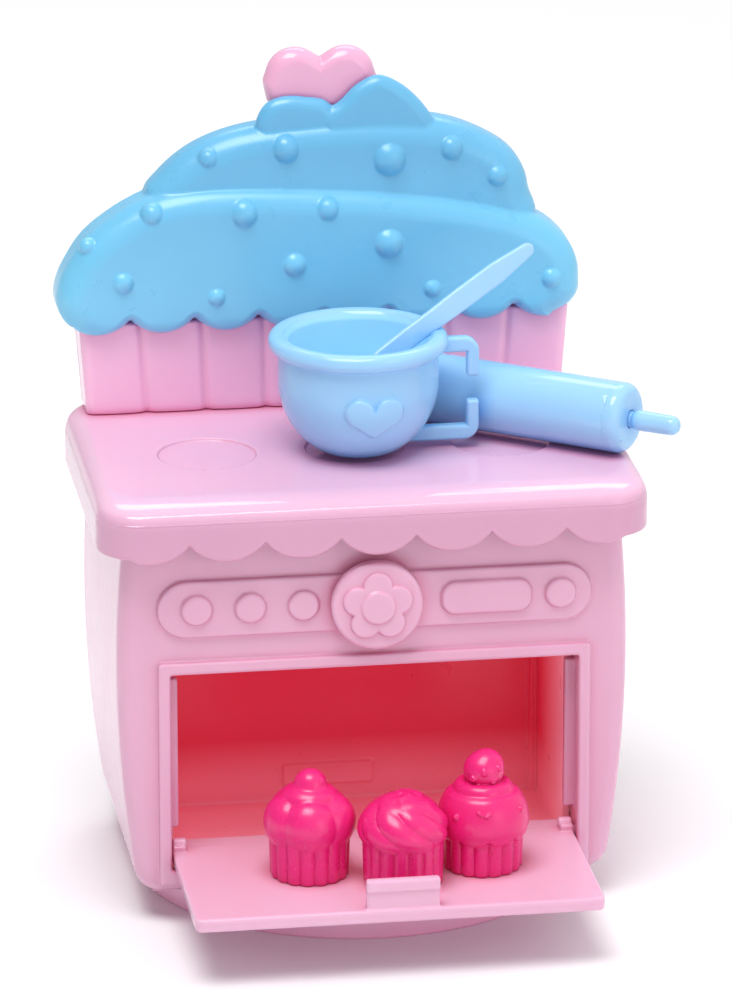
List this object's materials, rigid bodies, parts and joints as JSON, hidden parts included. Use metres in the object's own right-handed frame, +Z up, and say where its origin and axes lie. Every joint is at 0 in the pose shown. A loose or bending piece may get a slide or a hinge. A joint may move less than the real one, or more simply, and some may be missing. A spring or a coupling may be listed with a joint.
{
  "type": "toy kitchen",
  "caption": "Doll's toy oven with barrel sides, drop-down door, flower dial, scalloped worktop, cupcake backsplash, turning foot, mixing cup, spoon, rolling pin and cupcakes.",
  "frame": {"origin": "centre of the turning foot's underside, on the surface the toy stands on", "axes": "+Z up, the oven's door and controls face -Y, +X to the right seen from behind the viewer facing +Y"},
  "size_m": [0.108, 0.0987, 0.1464],
  "materials": {
    "body_pink": "glossy moulded plastic",
    "wrapper_pink": "glossy moulded plastic",
    "heart_pink": "glossy moulded plastic",
    "cavity_pink": "glossy moulded plastic",
    "frosting_blue": "glossy moulded plastic",
    "cup_blue": "glossy moulded plastic",
    "pin_blue": "glossy moulded plastic",
    "cupcake_pink": "semi-gloss soft vinyl",
    "zinc_steel": "zinc plated"
  },
  "bodies": {
    "base": {"turntable_base": "body_pink"},
    "oven": {"oven_floor": "body_pink", "turntable_washer": "zinc_steel", "turntable_screw": "zinc_steel", "front_shell": "body_pink", "rear_shell": "body_pink", "oven_liner": "cavity_pink", "worktop": "body_pink", "wrapper_panel": "wrapper_pink", "frosting_shell": "frosting_blue", "heart_topper": "heart_pink", "backsplash_cover": "body_pink", "case_screws": "zinc_steel", "backsplash_screws": "zinc_steel"},
    "door": {"oven_door": "body_pink"},
    "dial": {"control_dial": "body_pink", "dial_clip": "zinc_steel"},
    "cup": {"mixing_cup": "cup_blue"},
    "spoon_body": {"spoon": "cup_blue"},
    "pin": {"rolling_pin_axle": "pin_blue"},
    "roller": {"rolling_pin_roller": "pin_blue", "rolling_pin_end_cap": "pin_blue"},
    "peak": {"cupcake_peak": "cupcake_pink"},
    "rosette": {"cupcake_rosette": "cupcake_pink"},
    "strawberry": {"cupcake_strawberry": "cupcake_pink"}
  },
  "joints": [
    {"name": "base_swivel", "type": "hinge", "parent": "base", "child": "oven", "pos_m": [0, 0, 0.0045], "axis": [0, 0, 1], "continuous": true},
    {"name": "door_hinge", "type": "hinge", "parent": "oven", "child": "door", "pos_m": [0, -0.0244, 0.0126], "axis": [1, 0, 0], "range_deg": [-90, 0]},
    {"name": "dial_turn", "type": "hinge", "parent": "oven", "child": "dial", "pos_m": [0, -0.028, 0.0596], "axis": [0, -1, 0], "continuous": true},
    {"name": "cup_lift", "type": "slide", "parent": "oven", "child": "cup", "axis": [0, 0, 1], "range_m": [0, 0.06]},
    {"name": "spoon_lift", "type": "slide", "parent": "cup", "child": "spoon_body", "axis": [0, 0, 1], "range_m": [0, 0.035]},
    {"name": "rolling_pin_lift", "type": "slide", "parent": "oven", "child": "pin", "axis": [0, 0, 1], "range_m": [0, 0.008]},
    {"name": "roller_spin", "type": "hinge", "parent": "pin", "child": "roller", "pos_m": [0.0316, -0.0008, 0.0866], "axis": [0.8049, -0.5934, 0], "continuous": true},
    {"name": "peak_lift", "type": "slide", "parent": "door", "child": "peak", "axis": [0, 0, 1], "range_m": [0, 0.02]},
    {"name": "rosette_lift", "type": "slide", "parent": "door", "child": "rosette", "axis": [0, 0, 1], "range_m": [0, 0.02]},
    {"name": "strawberry_lift", "type": "slide", "parent": "door", "child": "strawberry", "axis": [0, 0, 1], "range_m": [0, 0.02]}
  ]
}
